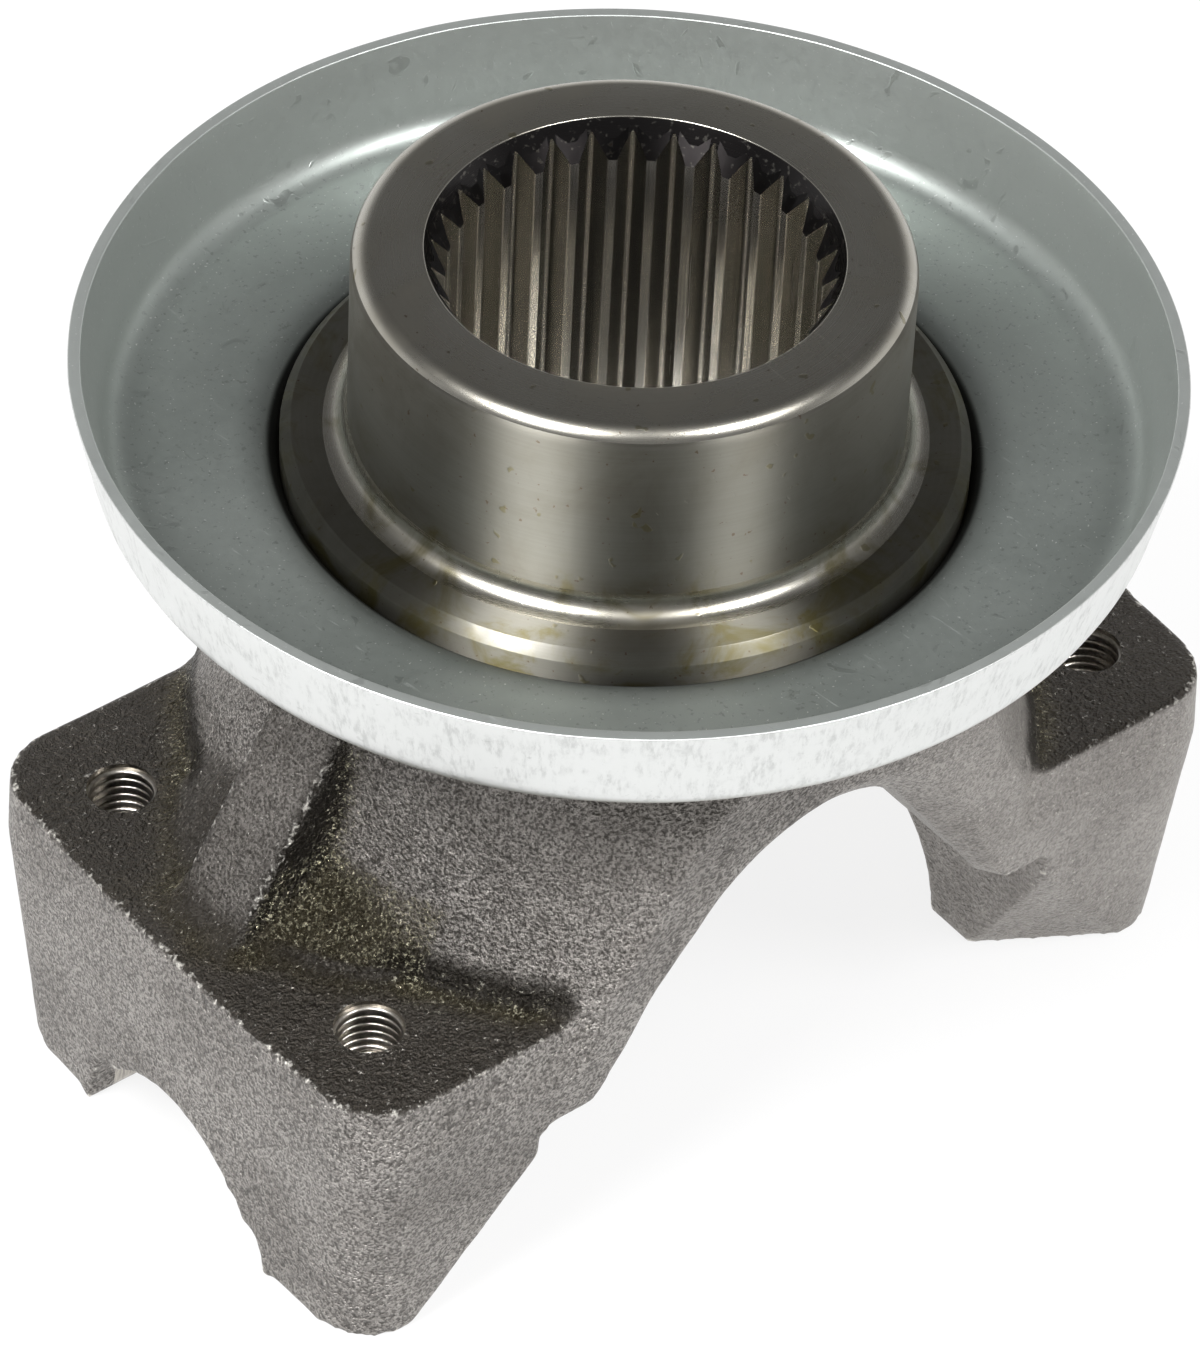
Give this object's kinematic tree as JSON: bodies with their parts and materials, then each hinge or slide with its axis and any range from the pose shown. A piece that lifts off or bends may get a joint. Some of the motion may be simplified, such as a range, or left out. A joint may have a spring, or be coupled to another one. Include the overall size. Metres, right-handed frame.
{
  "type": "forged yoke",
  "caption": "Forged end yoke with an internally splined hub, half-round bearing saddles on its arms and a pressed dust deflector.",
  "frame": {"origin": "where the hub axis meets the trunnion axis, in the plane of the leg ends", "axes": "+Z along the hub axis towards the hub's nose, X along the trunnion axis through both saddles, Y through the throat"},
  "size_m": [0.1908, 0.185, 0.1635],
  "materials": {
    "forged_steel": "shot-blasted forged skin with oil film, machined and ground hub, seats and threads",
    "zinc_sheet": "satin zinc plating"
  },
  "bodies": {
    "root": {"forged_yoke": "forged_steel", "dust_deflector": "zinc_sheet"}
  },
  "joints": []
}
